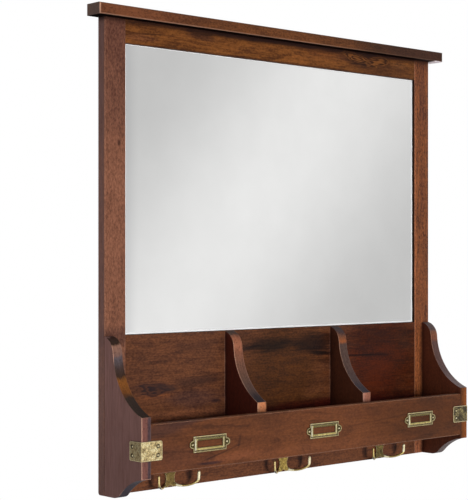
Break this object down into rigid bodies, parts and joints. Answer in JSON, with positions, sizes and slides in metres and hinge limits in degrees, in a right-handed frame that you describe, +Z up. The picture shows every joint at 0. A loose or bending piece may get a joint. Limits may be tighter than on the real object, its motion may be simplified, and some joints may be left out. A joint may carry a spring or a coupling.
{
  "type": "wall mirror with letter tray and hooks",
  "caption": "Wall-hung framed mirror with a projecting cap, an open letter tray with curved sides and dividers, brass corner plates and label holders, and double coat hooks below.",
  "frame": {"origin": "on the wall, midway between the centres of the round entries of the two keyhole plates", "axes": "+X to the right as the mirror is looked at, +Y into the wall, +Z up"},
  "size_m": [0.76, 0.1034, 0.7117],
  "materials": {
    "frame_wood": "satin walnut stain, fine pores",
    "tray_wood": "satin walnut stain, figured grain",
    "dowel_wood": "bare beech",
    "backing_board": "smooth hardboard",
    "mirror_glass": "silvered and polished",
    "brass_plate": "antique brass, mottled",
    "brass_hook": "antique brass, satin, bright on the horns",
    "steel": "zinc plated"
  },
  "bodies": {
    "root": {"left_stile": "frame_wood", "right_stile": "frame_wood", "top_rail": "frame_wood", "lower_panel": "frame_wood", "frame_dowels": "dowel_wood", "top_cap": "frame_wood", "cap_dowels": "dowel_wood", "mirror_glass": "mirror_glass", "backing_board": "backing_board", "backing_screws": "steel", "left_side": "tray_wood", "right_side": "tray_wood", "side_screws": "steel", "left_divider": "tray_wood", "right_divider": "tray_wood", "divider_screws": "steel", "shelf": "tray_wood", "shelf_screws": "steel", "front_board": "tray_wood", "tray_dowels": "dowel_wood", "left_corner_plate": "brass_plate", "right_corner_plate": "brass_plate", "corner_plate_pins": "brass_plate", "left_label_holder": "brass_plate", "middle_label_holder": "brass_plate", "right_label_holder": "brass_plate", "label_holder_pins": "brass_plate", "left_hook": "brass_hook", "middle_hook": "brass_hook", "right_hook": "brass_hook", "hook_screws": "brass_hook", "left_keyhole_plate": "steel", "right_keyhole_plate": "steel", "keyhole_plate_screws": "steel"}
  },
  "joints": []
}
